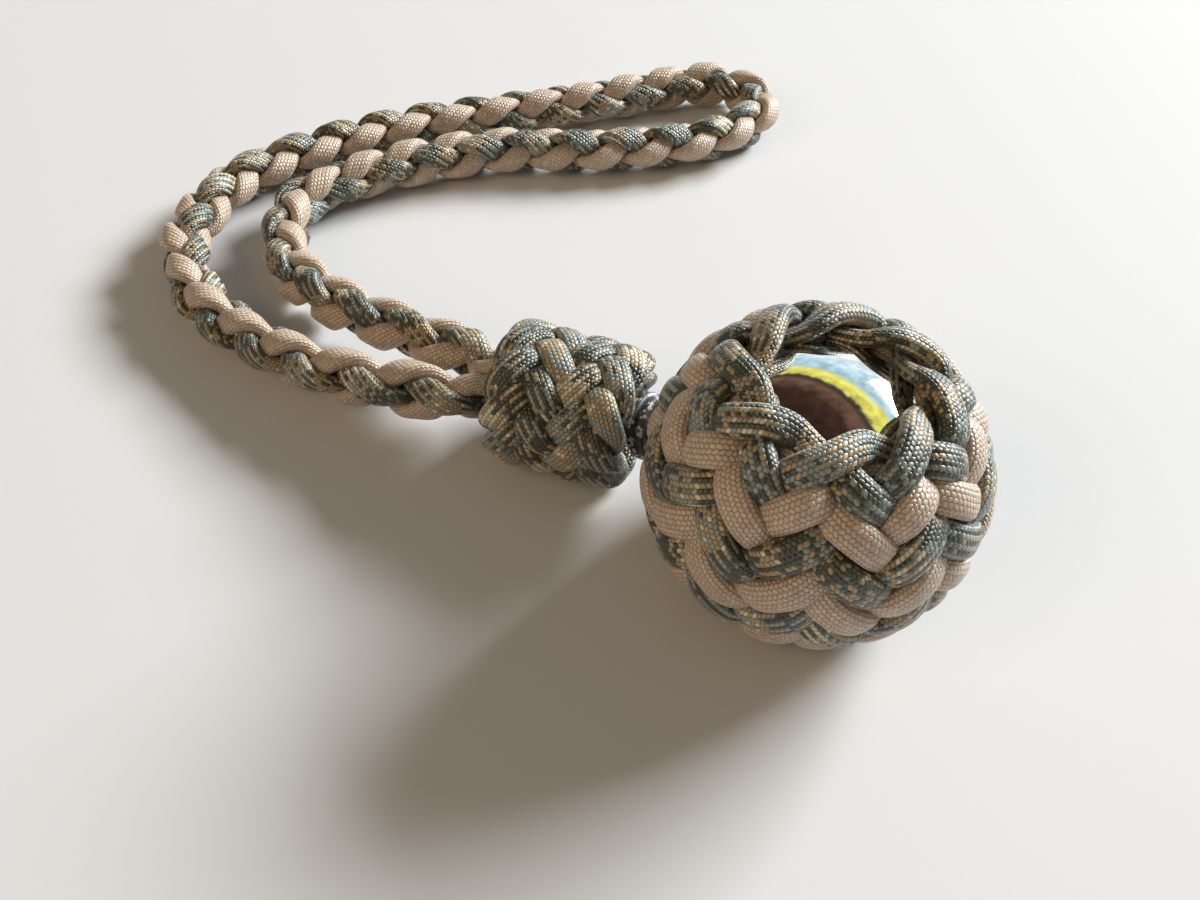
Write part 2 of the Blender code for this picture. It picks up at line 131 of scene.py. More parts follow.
# Lanyard. The middle of each cord goes round between INNER and OUTER from the braid's middle, and
# within FUNNEL of the collar it bends to its place in the bore
BRAID_DIAMETER = 10.0 * MM
BRAID_SIDE_GAP = 0.4 * MM
BRAID_STRAIGHT = 6.0 * MM
BRAID_PITCH = 21.0 * MM
BRAID_PITCH_AT_COLLAR = 28.0 * MM
BRAID_PITCH_EASES = 85.0 * MM
BRAID_OUTER = 3.5 * MM
BRAID_INNER = 1.2 * MM
BRAID_BOW = 0.15 * MM
BRAID_WIDTHS = (3.8 * MM, 5.0 * MM)
BRAID_DEPTHS = (2.6 * MM, 3.05 * MM)
BRAID_PATTERN_SHIFT = 64
FUNNEL = 7.0 * MM
BORE_REACH = 4.0 * MM
# The cords in the bore that each kind's ends run on to, two for each leg of the loop
BRAID_ROOTS = {"tan": (0, 2, 4, 6), "camo": (1, 3, 7, 5)}
# How far the whole braid has turned about its middle: share of its length, degrees
BRAID_TWIST = (
    (0.0, 0.0),
    (0.08, 17.0),
    (0.17, 45.0),
    (0.25, 125.0),
    (0.33, 165.0),
    (0.40, 177.0),
    (0.48, 238.0),
    (0.58, 282.0),
    (0.68, 325.0),
    (0.78, 371.0),
    (0.85, 438.0),
    (0.93, 465.0),
    (1.0, 475.0),
)
TWIST_SMOOTHING = 31
# The route of the braid's middle between its two straight starts, in millimetres
LAID = 5.2
ROUTE = (
    (-56.2, 34.8, 9.5),
    (-71.3, 44.7, 7.0),
    (-83.1, 57.9, LAID),
    (-85.4, 72.2, LAID),
    (-81.0, 81.3, LAID),
    (-65.7, 91.9, LAID),
    (-44.7, 99.6, LAID),
    (-22.5, 101.7, LAID),
    (0.1, 107.8, LAID),
    (12.0, 117.2, LAID),
    (13.4, 125.0, LAID),
    (7.8, 130.6, LAID),
    (-1.8, 131.3, LAID),
    (-23.3, 122.4, LAID),
    (-46.1, 113.8, LAID),
    (-67.9, 105.4, LAID),
    (-88.0, 93.7, LAID),
    (-100.2, 81.4, LAID),
    (-104.2, 65.6, LAID),
    (-102.5, 56.3, LAID),
    (-96.3, 44.8, LAID),
    (-84.2, 34.6, 5.6),
    (-67.1, 24.3, 8.2),
)

# How closely paths are worked out before they are made into even rings
STEPS_PER_COLUMN = 24
STEPS_PER_ROUTE_SPOT = 24

# The slow drift of a closed cord: its wavelengths, and how much of its size each may take
WANDER_WAVES = (34 * MM, 19 * MM, 11 * MM)
WANDER_SHARES = (0.3, 0.6)

# Sheaths: picks stand in columns round a cord, and the pattern comes back after a number of them
Sheath = namedtuple("Sheath", "columns pick repeat height")
CORD_SHEATH = Sheath(columns=18, pick=0.66 * MM, repeat=144, height=0.17 * MM)
THIN_SHEATH = Sheath(columns=8, pick=0.5 * MM, repeat=120, height=0.08 * MM)
RINGS_PER_REPEAT = 150
BAKE_ROWS = 3
BAKE_MARGIN = 0.004


# Smooth paths


def wave(share, sharpness):
    """Runs from -1 to 1 with share, in a straight line that eases off towards both ends.

    It eases off less the nearer the sharpness is to 1."""
    return np.arcsin(sharpness * np.sin(math.pi / 2 * share)) / math.asin(sharpness)


def smoothstep(share):
    share = np.clip(share, 0.0, 1.0)
    return share * share * (3 - 2 * share)


def blend(low, high, share):
    """low where share is 0, high where it is 1."""
    return low + (high - low) * share


def unit(vectors):
    return vectors / np.linalg.norm(vectors, axis=1)[:, None]


def square_to_z(angles):
    """Unit vectors at the given angles about Z."""
    return np.stack([np.cos(angles), np.sin(angles), np.zeros(len(angles))], axis=1)


def lengths_along(centres, closed):
    """The length of the path up to each centre, and for a closed one its whole length too."""
    ends = np.roll(centres, -1, 0) if closed else centres[1:]
    steps = np.linalg.norm(ends - centres[: len(ends)], axis=1)
    return np.concatenate([[0.0], np.cumsum(steps)])


def wander(lengths, size, seed):
    """A slow random drift of about the given size along a closed cord.

    The last of the lengths is the whole one, and gets no drift of its own."""
    draw = np.random.default_rng(seed)
    along, total = lengths[:-1], lengths[-1]
    drift = np.zeros(len(along))
    for wavelength in WANDER_WAVES:
        count = max(1, round(total / wavelength))
        phase = draw.uniform(0, TURN)
        part = size * draw.uniform(*WANDER_SHARES)
        drift += part * np.sin(TURN * count * along / total + phase)
    return drift


def run_middles(columns, span, first, over):
    """(column, level) at the middle of each run of crossings, over at level 1 and under at 0."""
    middles = []
    start = 0
    while start == 0 or start % columns:
        for direction in (-1, 1):
            crossings = range(start + first, start + span - first + 1)
            begin = crossings[0]
            for crossing in crossings:
                level = over(direction, crossing, start)
                if crossing == crossings[-1] or over(direction, crossing + 1, start) != level:
                    middles.append(((begin + crossing) / 2, float(level)))
                    begin = crossing + 1
            start += span
    return middles, start


def knot_course(columns, span, first, sharpness, over, crispness):
    """Columns, heights from -1 to 1 and levels from 0 to 1, closely spaced along a closed cord."""
    middles, total = run_middles(columns, span, first, over)
    places, levels = np.array(middles).T
    places = np.concatenate([[places[-1] - total], places, [places[0] + total]])
    levels = np.concatenate([[levels[-1]], levels, [levels[0]]])
    course = np.arange(total * STEPS_PER_COLUMN) / STEPS_PER_COLUMN
    index = np.searchsorted(places, course, side="right") - 1
    share = (course - places[index]) / (places[index + 1] - places[index])
    level = blend(levels[index], levels[index + 1], smoothstep(share))
    level = blend(level, smoothstep(level), crispness)
    passes = np.floor(course / span)
    direction = np.where(passes % 2 == 0, -1, 1)
    height = -direction * wave(1 - 2 * (course - passes * span) / span, sharpness)
    return course, height, level


def cover_over(direction, crossing, _start):
    return crossing % 4 in ((3, 0) if direction < 0 else (1, 2))


def collar_over(direction, crossing, start):
    row = crossing - start if direction < 0 else COLLAR_SPAN - (crossing - start)
    return (row in (1, 2, 5, 6)) == (direction < 0)


def smooth_curve(points, per_span):
    """Points on a Catmull-Rom curve through the given points."""
    ends = [2 * points[0] - points[1], *points, 2 * points[-1] - points[-2]]
    made = []
    for before, begin, end, after in zip(ends, ends[1:], ends[2:], ends[3:]):
        for step in range(per_span):
            t = step / per_span
            doubled = (
                2 * begin
                + (end - before) * t
                + (2 * before - 5 * begin + 4 * end - after) * t**2
                + (3 * begin - before - 3 * end + after) * t**3
            )
            made.append(0.5 * doubled)
    return np.array([*made, points[-1]])


def carried_frame(points):
    """Two unit vectors square to the line at each point, carried along without twist."""
    along = unit(np.gradient(points, axis=0))
    side = np.cross(along[0], UP)
    side /= np.linalg.norm(side)
    sides = []
    for way in along:
        side = side - way * (side @ way)
        side /= np.linalg.norm(side)
        sides.append(side)
    sides = np.array(sides)
    return sides, np.cross(sides, along)


# Frames of the collar and the neck


def standing(point, way):
    """The matrix of a frame that stands at a point, with its Z along a way."""
    return Matrix.Translation(point) @ way.to_track_quat("Z", "Y").to_matrix().to_4x4()


def moved(matrix, points):
    numbers = np.array(matrix)
    return points @ numbers[:3, :3].T + numbers[:3, 3]


def turned(matrix, vectors):
    return vectors @ np.array(matrix)[:3, :3].T


TO_BALL = Vector((math.cos(COLLAR_HEADING), math.sin(COLLAR_HEADING), 0.0))
COLLAR_CENTRE = SWING_POINT - TO_BALL * (COLLAR_HALF_LENGTH - PIVOT_DEPTH)
COLLAR_FRAME = standing(COLLAR_CENTRE, -TO_BALL)
NECK_SPAN = NOD_POINT - SWING_POINT
NECK_FRAME = standing(SWING_POINT, NECK_SPAN.normalized())


# Tubes


def ring_step(sheath):
    """The distance from ring to ring of a cord with this sheath."""
    return sheath.repeat * sheath.pick / RINGS_PER_REPEAT


def resampled(centres, others, sheath, closed):
    """The centres and other columns of values again, as evenly spaced rings.

    A closed cord gets a whole number of the sheath's repeats, so that its pattern meets itself."""
    lengths = lengths_along(centres, closed)
    rings = round(lengths[-1] / ring_step(sheath))
    if closed:
        rings = round(rings / RINGS_PER_REPEAT) * RINGS_PER_REPEAT
    wanted = np.linspace(0, lengths[-1], rings + 1)
    made = []
    for values in (centres, *others):
        whole = np.concatenate([values, values[:1]]) if closed else values
        flat = whole.reshape(len(whole), -1)
        even = np.stack([np.interp(wanted, lengths, part) for part in flat.T], axis=1)
        even = even[:-1] if closed else even
        made.append(even.reshape(-1, *whole.shape[1:]))
    return made


def circle(sides):
    """The cosines and sines of evenly spaced angles."""
    angles = TURN * np.arange(sides) / sides
    return np.cos(angles), np.sin(angles)


def swept(centres, outs, widths, depths, sides, fullness, closed):
    """Rings round the centres, wide across outs and thin along them, pressed flat on the floor.

    A fullness of 2 makes each ring an ellipse, and more brings it nearer to its box."""
    following = np.roll(centres, -1, 0)
    before = np.roll(centres, 1, 0)
    if not closed:
        following[-1] = centres[-1]
        before[0] = centres[0]
    along = unit(following - before)
    across = unit(np.cross(outs, along))
    out = np.cross(along, across)
    wide, thick = [np.sign(part) * np.abs(part) ** (2 / fullness) for part in circle(sides)]
    rings = (
        centres[:, None]
        + across[:, None] * (wide[None, :, None] * widths[:, None, None] / 2)
        + out[:, None] * (thick[None, :, None] * depths[:, None, None] / 2)
    )
    rings[..., 2] = np.maximum(rings[..., 2], 0.0)
    return rings


def shares_round(rings):
    """How far round its ring each point is, from 0 to 1, with the first ring again at the end."""
    steps = np.linalg.norm(np.roll(rings, -1, 1) - rings, axis=2)
    shares = np.concatenate([np.zeros((len(rings), 1)), np.cumsum(steps, axis=1)], axis=1)
    shares /= shares[:, -1:]
    return np.concatenate([shares, shares[:1]])


def cord_maps(rings, ring, side, sheath, start):
    """Two UV maps for faces whose corners are given by ring and side.

    cord_run counts picks along the cord in U and turns round it in V. OFBake lays the sheath's
    repeat out in rows for the export, with each further repeat on top of the first."""
    picks = (np.arange(len(rings) + 1) + start) * sheath.repeat / RINGS_PER_REPEAT
    run = np.stack([picks[ring], shares_round(rings)[ring, side]], axis=2)
    per_row = RINGS_PER_REPEAT // BAKE_ROWS
    row = (ring[:, :1] + start) // per_row
    baked = run.copy()
    baked[..., 0] = run[..., 0] * RINGS_PER_REPEAT / sheath.repeat / per_row - row
    baked = BAKE_MARGIN + baked * (1 - 2 * BAKE_MARGIN)
    baked[..., 1] = (row % BAKE_ROWS + baked[..., 1]) / BAKE_ROWS
    return {"cord_run": run.reshape(-1, 2), "OFBake": baked.reshape(-1, 2)}


def added(name, data):
    """A new object in the scene."""
    made = bpy.data.objects.new(name, data)
    bpy.context.scene.collection.objects.link(made)
    return made


def tube(
    name, centres, outs, widths, depths, sheath, closed=False, sides=24, fullness=2.5, start=0
):
    """A cord along evenly spaced centres, with its sheath's pattern moved on by start rings."""
    rings = swept(centres, outs, widths, depths, sides, fullness, closed)
    count = len(rings)
    spans = count if closed else count - 1
    ring = np.repeat(np.arange(spans), sides)[:, None] + (0, 0, 1, 1)
    side = np.tile(np.arange(sides), spans)[:, None] + (0, 1, 1, 0)
    faces = ((ring % count) * sides + side % sides).tolist()
    maps = cord_maps(rings, ring, side, sheath, start)
    if not closed:
        faces += [list(range(sides))[::-1], list(range((count - 1) * sides, count * sides))]
        cap = (0.5 + 0.5 * np.stack(circle(sides), axis=1)) * BAKE_MARGIN
        maps = {key: np.concatenate([values, cap, cap]) for key, values in maps.items()}
    mesh = bpy.data.meshes.new(name)
    mesh.from_pydata(rings.reshape(-1, 3).tolist(), [], faces)
    for key, values in maps.items():
        layer = mesh.uv_layers.new(name=key)
        layer.data.foreach_set("uv", values.astype(np.float32).ravel())
    mesh.shade_smooth()
    mesh.update()
    return added(name, mesh)


def dressed(piece, material, slot, body, *nodes):
    """Gives a piece its material, the body it rides on and the CAD nodes it replaces. The slot is
    not used.
    """
    piece.data.materials.append(material)
    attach(piece, body)
    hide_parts(*nodes)


# Node trees


class Number:
    """A value in a node tree. Arithmetic on it adds Math nodes."""

    def __init__(self, tree, source):
        self.tree = tree
        self.source = source

    def __add__(self, other):
        return self.tree.maths("ADD", self, other)

    def __sub__(self, other):
        return self.tree.maths("SUBTRACT", self, other)

    def __rsub__(self, other):
        return self.tree.maths("SUBTRACT", other, self)

    def __mul__(self, other):
        return self.tree.maths("MULTIPLY", self, other)

    def floor(self):
        return self.tree.maths("FLOOR", self)

    def modulo(self, other):
        return self.tree.maths("FLOORED_MODULO", self, other)

    def power(self, other):
        return self.tree.maths("POWER", self, other)

    def at_least(self, other):
        return self.tree.maths("MAXIMUM", self, other)


class Tree:
    """A material's or a world's node tree, with short ways to add what this scene needs."""

    def __init__(self, owner, shader="Principled BSDF"):
        owner.use_nodes = True
        self.owner = owner
        self.nodes = owner.node_tree.nodes
        self.links = owner.node_tree.links
        self.shader = self.nodes[shader]

    def feed(self, socket, value):
        """Links a value to a socket, or writes a plain number or colour into it."""
        source = value.source if isinstance(value, Number) else value
        if isinstance(source, bpy.types.NodeSocket):
            self.links.new(source, socket)
        else:
            socket.default_value = source

    def node(self, kind, inputs, operation=None):
        """A new node, with values for its inputs by name or by place."""
        made = self.nodes.new("ShaderNode" + kind)
        if operation:
            made.operation = operation
        for key, value in inputs.items():
            self.feed(made.inputs[key], value)
        return made

    def shade(self, **inputs):
        """Feeds the tree's own shader."""
        for key, value in inputs.items():
            self.feed(self.shader.inputs[key.replace("_", " ")], value)

    def show(self, surface, output):
        self.feed(self.nodes[output].inputs["Surface"], surface)

    def maths(self, operation, *values):
        return Number(self, self.node("Math", dict(enumerate(values)), operation).outputs[0])

    def measured(self, operation, *vectors):
        """A number from vectors, such as a length or a dot product."""
        node = self.node("VectorMath", dict(enumerate(vectors)), operation)
        return Number(self, node.outputs["Value"])

    def ranged(self, value, low, high, interpolation="LINEAR"):
        """0 where the value is low or less, 1 where it is high or more."""
        node = self.node("MapRange", {"Value": value, "From Min": low, "From Max": high})
        node.interpolation_type = interpolation
        return Number(self, node.outputs[0])

    def place(self, kind):
        return self.node("TexCoord", {}).outputs[kind]

    def ray(self, kind):
        """1 for the rays that the Light Path node's output names, 0 for all others."""
        return Number(self, self.node("LightPath", {}).outputs[kind])

    def joined(self, *values):
        return self.node("CombineXYZ", dict(enumerate(values))).outputs[0]

    def parts(self, vector):
        return [Number(self, part) for part in self.node("SeparateXYZ", {0: vector}).outputs]

    def cord_run(self):
        """(picks along the cord, share of a turn round it)"""
        where = self.node("UVMap", {})
        where.uv_map = "cord_run"
        return self.parts(where.outputs["UV"])[:2]

    def chance(self, *values):
        """A random number from 0 to 1 for each set of whole numbers."""
        node = self.node("TexWhiteNoise", {"Vector": self.joined(*values)})
        return Number(self, node.outputs["Value"])

    def noise(self, vector, scale, detail):
        node = self.node("TexNoise", {"Vector": vector, "Scale": scale, "Detail": detail})
        return Number(self, node.outputs[0])

    def drift(self, place, repeat, size, offset):
        """A smooth random number along a cord, which comes back after a number of picks."""
        angle = place * (TURN / repeat)
        radius = repeat / (TURN * size)
        cosine, sine = [self.maths(name, angle) * radius for name in ("COSINE", "SINE")]
        return self.noise(self.joined(cosine, sine, offset), 1.0, 2.0)

    def ramp(self, value, stops, steps=False):
        """The colour at a value, in steps or blended from stop to stop."""
        node = self.node("ValToRGB", {"Fac": value})
        node.color_ramp.interpolation = "CONSTANT" if steps else "LINEAR"
        elements = node.color_ramp.elements
        while len(elements) > 1:
            elements.remove(elements[-1])
        for index, (place, colour) in enumerate(stops):
            element = elements.new(place) if index else elements[0]
            element.position = place
            element.color = (*colour, 1.0)
        return node.outputs["Color"]

    def shaded(self, colour, factor):
        """colour times a number."""
        return self.node("VectorMath", {0: colour, "Scale": factor}, "SCALE").outputs[0]

    def bump(self, height, distance):
        self.shade(Normal=self.node("Bump", {"Height": height, "Distance": distance}).outputs[0])

    def mixed(self, share, first, second):
        """The first shader where share is 0, the second where it is 1."""
        return self.node("MixShader", {0: share, 1: first, 2: second}).outputs[0]


# Materials

DARK_OLIVE = (0.028, 0.034, 0.015)
PINE = (0.045, 0.058, 0.032)
SAGE = (0.165, 0.19, 0.145)
GREY_GREEN = (0.27, 0.31, 0.29)
KHAKI = (0.42, 0.30, 0.14)
CREAM = (0.70, 0.62, 0.45)
BLACK = (0.02, 0.02, 0.022)
WHITE = (0.62, 0.63, 0.65)
CAMO_STOPS = (
    (0.0, CREAM),
    (0.395, KHAKI),
    (0.449, DARK_OLIVE),
    (0.490, PINE),
    (0.512, SAGE),
    (0.524, GREY_GREEN),
    (0.572, KHAKI),
    (0.606, CREAM),
)
TAN_STOPS = ((0.0, (0.55, 0.40, 0.28)), (0.5, (0.61, 0.455, 0.33)), (1.0, (0.66, 0.50, 0.37)))
SPECKLED_STOPS = ((0.0, BLACK), (0.54, WHITE), (0.64, BLACK))

# Printed patches: their size in picks, and how far each yarn goes its own way
Patches = namedtuple("Patches", "size yarn_share")
CAMO_PATCHES = Patches(size=13.5, yarn_share=0.22)
SPECKLES = Patches(size=1.6, yarn_share=0.8)
YARN_PATCH_STRETCH = 1.8
SHARED_BY_BOTH_SETS = 0.3
PATCH_JITTER = 0.03
# Far apart, so that no two drifts run alike
SEED_STRIDE = 17.0
SET_STRIDE = 41.0
SET_START = 7.0
YARN_STRIDE = 83.0

# Picks: their lean, how they round off, the painted light on them (a lighter top, painted shade
# between picks), and how tone and fibres vary on them
PICK_LEAN = 0.30
ROUNDS_ALONG = 0.85
ROUNDS_ACROSS = 0.75
PICK_TOP_PAINTED_LIGHT = 1.02
PICK_LIGHT_SPREAD = 0.22
FIBRE_LIGHT_SPREAD = 0.3
FIBRES_PER_PICK = 26.0
FIBRE_LEAN = 1.5
FIBRE_STRIDE = 50.0
FIBRE_HEIGHT = 0.12

STEEL = (0.80, 0.81, 0.83, 1.0)
HAZE_SCALE = 160.0
HAZE_DETAIL = 5.0
HAZE_SPREAD = 0.07
HAZE_LEAST = 0.015


def edge_share(offset):
    """0 in the middle of a pick, 1 at its edge, which is half a pick away."""
    return offset * offset * 4.0


def about_one(chance, spread):
    """A factor from a random number between 0 and 1, with 1 in the middle."""
    return chance * spread + (1.0 - spread / 2)


class Weave:
    """The picks of a braided sheath: which yarn shows at a place, and how high it stands there.

    off and aside are the distances from the middle of a pick, along it and across it. odd says
    which of the two sets of yarns the pick belongs to."""

    def __init__(self, tree, sheath):
        run, turn = tree.cord_run()
        across = turn * sheath.columns
        column = (across + 0.5).floor()
        self.aside = across - column
        self.odd = column.modulo(2.0)
        lean = 1.0 - self.odd * 2.0
        slant = run - lean * self.aside * PICK_LEAN - self.odd * 0.5
        nearest = (slant + 0.5).floor()
        self.off = slant - nearest
        self.yarn = (nearest - lean * column).modulo(sheath.columns)
        self.place = (nearest + self.odd * 0.5).modulo(sheath.repeat)
        height = 1.0 - edge_share(self.off) * ROUNDS_ALONG - edge_share(self.aside) * ROUNDS_ACROSS
        self.height = height.at_least(0.0).power(0.5)


def patch_value(tree, weave, sheath, patches, each_yarn, seed):
    """A random number that drifts along the cord, and decides the colour of the printed patches.

    It is made up of one drift for all yarns, one for each of the two sets of yarns that cross,
    and one for each yarn."""

    def drift(stretch, offset):
        return tree.drift(weave.place, sheath.repeat, patches.size * stretch, offset)

    shared = drift(1.0, seed * SEED_STRIDE)
    each_set = drift(1.0, weave.odd * SET_STRIDE + SET_START + seed)
    own = drift(YARN_PATCH_STRETCH, each_yarn * YARN_STRIDE)
    sets = shared * SHARED_BY_BOTH_SETS + each_set * (1.0 - SHARED_BY_BOTH_SETS)
    return sets * (1.0 - patches.yarn_share) + own * patches.yarn_share


def woven(name, stops, sheath=CORD_SHEATH, patches=None, seed=0.0, painted_crease_shade=0.72):
    """A woven nylon sheath, with yarns of slightly different colour or with printed patches.

    The last argument says how dark the painted shade between the picks gets."""
    tree = Tree(bpy.data.materials.new(name))
    weave = Weave(tree, sheath)
    each_pick = tree.chance(weave.yarn, weave.odd, weave.place)
    each_yarn = tree.chance(weave.yarn, weave.odd, seed)
    if patches:
        value = patch_value(tree, weave, sheath, patches, each_yarn, seed)
        colour = tree.ramp(value + (each_pick - 0.5) * PATCH_JITTER, stops, steps=True)
    else:
        colour = tree.ramp(each_yarn, stops)
    strand = weave.off * FIBRES_PER_PICK + each_pick * FIBRE_STRIDE + weave.aside * FIBRE_LEAN
    fibres = tree.noise(tree.joined(strand, 0.0, 0.0), 1.0, 1.0)
    # Painted shade: the colour darkens between the picks and is a little lighter on their tops;
    # the random tone of each pick and fibre is multiplied in below
    light = weave.height * painted_crease_shade + (PICK_TOP_PAINTED_LIGHT - painted_crease_shade)
    light = light * about_one(each_pick, PICK_LIGHT_SPREAD) * about_one(fibres, FIBRE_LIGHT_SPREAD)
    tree.shade(Base_Color=tree.shaded(colour, light))
    tree.bump(weave.height + fibres * FIBRE_HEIGHT, sheath.height)
    tree.shade(Roughness=0.38, Specular_IOR_Level=1.0, Sheen_Weight=0.3, Sheen_Roughness=0.3)
    return tree.owner


def camo_sheath(name, seed):
    return woven(name, CAMO_STOPS, patches=CAMO_PATCHES, seed=seed)


def tan_sheath(name):
    return woven(name, TAN_STOPS, painted_crease_shade=0.5)


def speckled_sheath(name):
    return woven(name, SPECKLED_STOPS, THIN_SHEATH, patches=SPECKLES)


def polished_steel(name):
    tree = Tree(bpy.data.materials.new(name))
    haze = tree.noise(tree.place("Object"), HAZE_SCALE, HAZE_DETAIL)
    tree.shade(Roughness=haze * HAZE_SPREAD + HAZE_LEAST, Metallic=1.0, Base_Color=STEEL)
    return tree.owner


# Fist and collar


def cover_cord(name, cord):
    """One of the two cords that interlace round the ball."""
    course, height, level = knot_course(
        COVER_COLUMNS, cord.span, cord.first_crossing, cord.sharpness, cover_over, COVER_CRISPNESS
    )
    around = COVER_TURN + course * TURN / COVER_COLUMNS
    latitude = height * cord.edge
    radius = BALL_RADIUS + blend(*COVER_HEIGHTS, level)
    outs = square_to_z(around) * np.cos(latitude)[:, None] + np.outer(np.sin(latitude), UP)
    centres, outs, level, latitude = resampled(
        outs * radius[:, None], [outs, level, latitude], CORD_SHEATH, True
    )
    outs = unit(outs)
    lengths = lengths_along(centres, True)
    sideways = unit(np.cross(outs, np.roll(centres, -1, 0) - np.roll(centres, 1, 0)))
    centres = centres + sideways * wander(lengths, COVER_WANDER_ASIDE, cord.seed)[:, None]
    centres = centres + outs * wander(lengths, COVER_WANDER_OUT, cord.seed + 1)[:, None]
    squeeze = 1 - COVER_SQUEEZE * (1 - np.cos(latitude))
    widths = blend(*COVER_WIDTHS, smoothstep(COVER_WIDENS * level)) * squeeze
    widths = widths + wander(lengths, COVER_WANDER_WIDTH, cord.seed + 2)
    depths = blend(*COVER_DEPTHS, level)
    centres = centres + np.array(BALL_CENTRE)
    return tube(name, centres, outs, widths, depths, CORD_SHEATH, closed=True, sides=26)


def cover(materials):
    """The two cords of the ball's cover."""
    for kind, cord in COVER_CORDS.items():
        piece = cover_cord(f"cover_{kind}_cord", cord)
        dressed(piece, materials[kind], f"{kind}_cord", "fist", f"ball_cover_{kind}_cord")


def collar(material):
    """The collar knot: one closed cord, woven round the strands of the lanyard."""
    course, height, level = knot_course(
        COLLAR_COLUMNS,
        COLLAR_SPAN,
        COLLAR_FIRST_CROSSING,
        COLLAR_SHARPNESS,
        collar_over,
        COLLAR_CRISPNESS,
    )
    outs = square_to_z(COLLAR_TURN + course * TURN / COLLAR_COLUMNS)
    by_ball = smoothstep(-height)
    heights = height * COLLAR_EDGE + by_ball * COLLAR_DRAWN_IN
    centres = outs * blend(*COLLAR_RADII, level)[:, None] + np.outer(heights, UP)
    centres, outs, level, by_ball = resampled(centres, [outs, level, by_ball], CORD_SHEATH, True)
    outs = unit(outs)
    lengths = lengths_along(centres, True)
    centres = centres + outs * wander(lengths, COLLAR_WANDER, COLLAR_SEED)[:, None]
    widths = blend(*COLLAR_WIDTHS, smoothstep(COLLAR_WIDENS * level))
    widths = widths + wander(lengths, COLLAR_WANDER, COLLAR_SEED + 1)
    depths = blend(*COLLAR_DEPTHS, level * (1 - COLLAR_THINNED * by_ball))
    centres, outs = moved(COLLAR_FRAME, centres), turned(COLLAR_FRAME, outs)
    piece = tube("collar_cord", centres, outs, widths, depths, CORD_SHEATH, closed=True)
    dressed(piece, material, "camo_cord", "lanyard", "collar_knot_cord")


def steel_ball(material):
    bpy.ops.mesh.primitive_uv_sphere_add(
        segments=128, ring_count=64, radius=BALL_RADIUS + BALL_FILL, location=BALL_CENTRE
    )
    ball = bpy.context.object
    ball.name = "polished_ball"
    ball.data.name = "polished_ball"
    ball.data.shade_smooth()
    dressed(ball, material, "polished_steel", "fist", "steel_ball")


# Neck and the cords in the bore

# Over what share of its radius a straight cord's end is drawn in, and the least share left of it
END_ROUNDING = 0.5
END_LEAST = 0.05


def straight_cord(name, matrix, centre, bottom, top):
    """A round cord along the frame's Z, with drawn-in ends."""
    heights = np.linspace(bottom, top, round((top - bottom) / ring_step(CORD_SHEATH)) + 1)
    ends = np.minimum(heights - bottom, top - heights) / (END_ROUNDING * STRAND_DIAMETER / 2)
    sizes = STRAND_DIAMETER * np.sqrt(1 - (1 - np.clip(ends, END_LEAST, 1)) ** 2)
    centres = np.array([(*centre, height) for height in heights])
    outs = square_to_z(np.zeros(len(heights)))
    centres, outs = moved(matrix, centres), turned(matrix, outs)
    return tube(name, centres, outs, sizes, sizes, CORD_SHEATH, sides=20, fullness=2.0)


def in_turn(count):
    """(index, kind, number) for cords that are tan and camouflage in turn."""
    return [(index, KINDS[index % 2], index // 2 + 1) for index in range(count)]


def neck_cords(materials):
    """The four cords between the ball's cover and the collar, under the whipping."""
    reach = math.sqrt(NECK_RADIUS**2 - NECK_STRAND_OFFSET**2)
    top = NECK_SPAN.length + reach - NECK_CUT
    for index, kind, number in in_turn(NECK_STRANDS):
        angle = TURN * (index + 0.5) / NECK_STRANDS
        centre = (NECK_STRAND_OFFSET * math.cos(angle), NECK_STRAND_OFFSET * math.sin(angle))
        piece = straight_cord(f"neck_cord_{kind}_{number}", NECK_FRAME, centre, -reach, top)
        dressed(piece, materials[kind], f"{kind}_cord", "neck", f"neck_strand_{kind}_{number}")


def whipping(material):
    """The thin speckled cord wound round the neck."""
    turns = np.linspace(0, WHIPPING_TURNS, WHIPPING_STEPS)
    outs = square_to_z(TURN * turns)
    heights = WHIPPING_START + (WHIPPING_DIAMETER + WHIPPING_TURN_GAP) * turns
    centres = outs * (NECK_RADIUS + PIECE_GAP + WHIPPING_DIAMETER / 2) + np.outer(heights, UP)
    centres, outs = resampled(centres, [outs], THIN_SHEATH, False)
    centres, outs = moved(NECK_FRAME, centres), turned(NECK_FRAME, outs)
    size = np.full(len(centres), WHIPPING_DIAMETER)
    piece = tube("neck_whipping", centres, outs, size, size, THIN_SHEATH, sides=14, fullness=2.0)
    dressed(piece, material, "speckled_cord", "neck", "neck_whipping_cord")


def root_place(index):
    """Where a cord stands in the bore: seven round one."""
    angle = ROOT_TURN + TURN * index / STRANDS_ROUND_ONE
    offset = ROOT_STRAND_OFFSET if index < STRANDS_ROUND_ONE else 0.0
    return offset * math.cos(angle), offset * math.sin(angle)


def root_cords(materials):
    """The cords in the collar's bore."""
    bottom = -(COLLAR_HALF_LENGTH - PIVOT_DEPTH) + (NECK_RADIUS + PIECE_GAP)
    top = COLLAR_HALF_LENGTH - BORE_REACH
    for index, kind, number in in_turn(STRANDS_ROUND_ONE + 1):
        name = f"lanyard_root_{kind}_{number}"
        piece = straight_cord(name, COLLAR_FRAME, root_place(index), bottom, top)
        node = f"lanyard_root_{kind}_strand_{number}"
        dressed(piece, materials[kind], f"{kind}_cord", "lanyard", node)


# Lanyard


